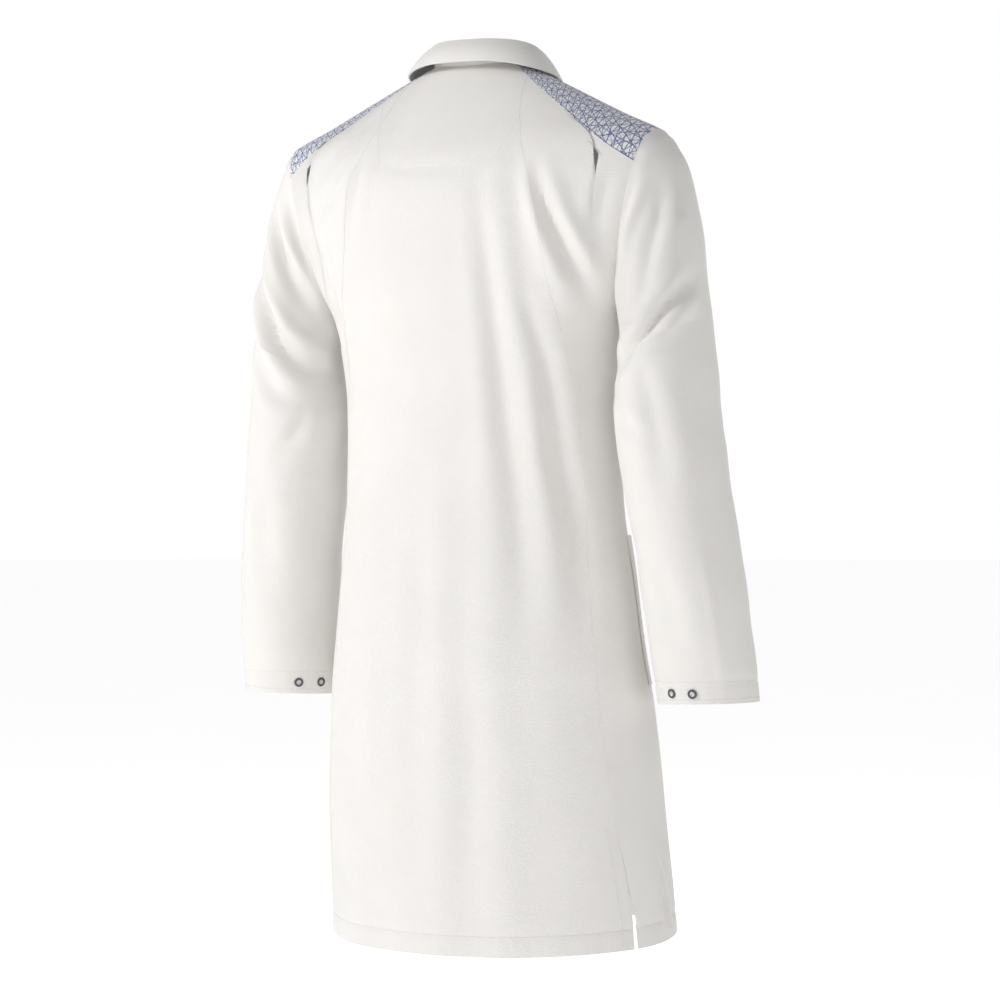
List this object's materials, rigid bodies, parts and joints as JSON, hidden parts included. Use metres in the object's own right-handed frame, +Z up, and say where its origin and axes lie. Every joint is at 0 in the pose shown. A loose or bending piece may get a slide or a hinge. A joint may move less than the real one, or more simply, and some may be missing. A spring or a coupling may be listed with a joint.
{
  "type": "lab coat",
  "caption": "Long-sleeved knee-length lab coat with turn-down collar, patterned shoulder yokes, concealed snap front, patch pockets, side slits and snap cuffs.",
  "frame": {"origin": "under the middle of the coat's width and depth, at the height of the back hem", "axes": "+Z up to the collar, -Y out of the front, +X to the wearer's left"},
  "size_m": [0.688, 0.3188, 1.0671],
  "materials": {
    "white_twill": "matte",
    "patterned_twill": "matte",
    "label_tape": "satin",
    "gunmetal": "satin",
    "snap_steel": "satin"
  },
  "bodies": {
    "coat_body": {"back_center_panel": "white_twill", "left_front_panel": "white_twill", "right_front_panel": "white_twill", "left_shoulder_yoke": "patterned_twill", "right_shoulder_yoke": "patterned_twill", "collar_stand": "white_twill", "inner_collar_stand": "white_twill", "collar_fall": "white_twill", "under_collar": "white_twill", "back_neck_facing": "white_twill", "neck_label": "label_tape", "hanger_loop": "white_twill", "back_hem_turnup": "white_twill", "left_hem_turnup": "white_twill", "right_hem_turnup": "white_twill", "left_vent_facings": "white_twill", "right_vent_facings": "white_twill", "upper_fly": "white_twill", "upper_front_facing": "white_twill", "upper_snap_sockets": "snap_steel", "upper_snap_studs": "snap_steel", "chest_pocket": "white_twill", "left_hip_pocket": "white_twill", "right_hip_pocket": "white_twill"},
    "left_front": {"left_front_flap": "white_twill", "left_flap_hem_turnup": "white_twill", "lower_fly": "white_twill", "lower_snap_sockets": "snap_steel"},
    "right_front": {"right_front_flap": "white_twill", "right_flap_hem_turnup": "white_twill", "lower_front_facing": "white_twill", "lower_snap_studs": "snap_steel"},
    "left_upper_arm": {"left_upper_sleeve": "white_twill"},
    "right_upper_arm": {"right_upper_sleeve": "white_twill"},
    "left_forearm": {"left_lower_sleeve": "white_twill", "left_cuff_turnup": "white_twill", "left_cuff_rings": "gunmetal", "left_cuff_studs": "snap_steel"},
    "right_forearm": {"right_lower_sleeve": "white_twill", "right_cuff_turnup": "white_twill", "right_cuff_rings": "gunmetal", "right_cuff_studs": "snap_steel"}
  },
  "joints": [
    {"name": "left_arm_raise", "type": "hinge", "parent": "coat_body", "child": "left_upper_arm", "pos_m": [0.243, 0.0515, 0.958], "axis": [0, -1, 0], "range_deg": [0, 55]},
    {"name": "right_arm_raise", "type": "hinge", "parent": "coat_body", "child": "right_upper_arm", "pos_m": [-0.243, 0.0515, 0.958], "axis": [0, 1, 0], "range_deg": [0, 55]},
    {"name": "left_elbow_bend", "type": "hinge", "parent": "left_upper_arm", "child": "left_forearm", "pos_m": [0.2505, -0.022, 0.62], "axis": [-1, 0, 0], "range_deg": [0, 85]},
    {"name": "right_elbow_bend", "type": "hinge", "parent": "right_upper_arm", "child": "right_forearm", "pos_m": [-0.2505, -0.022, 0.62], "axis": [-1, 0, 0], "range_deg": [0, 85]},
    {"name": "left_front_open", "type": "hinge", "parent": "coat_body", "child": "left_front", "pos_m": [-0.02, -0.0745, 0.74], "axis": [-0.2735, 0.048, 0.9607], "range_deg": [0, 32]},
    {"name": "right_front_open", "type": "hinge", "parent": "coat_body", "child": "right_front", "pos_m": [0.02, -0.0745, 0.6], "axis": [-0.3327, -0.0584, -0.9412], "range_deg": [0, 19.2]}
  ],
  "couplings": [
    {"joint": "right_front_open", "follows": "left_front_open", "ratio": 0.6}
  ]
}
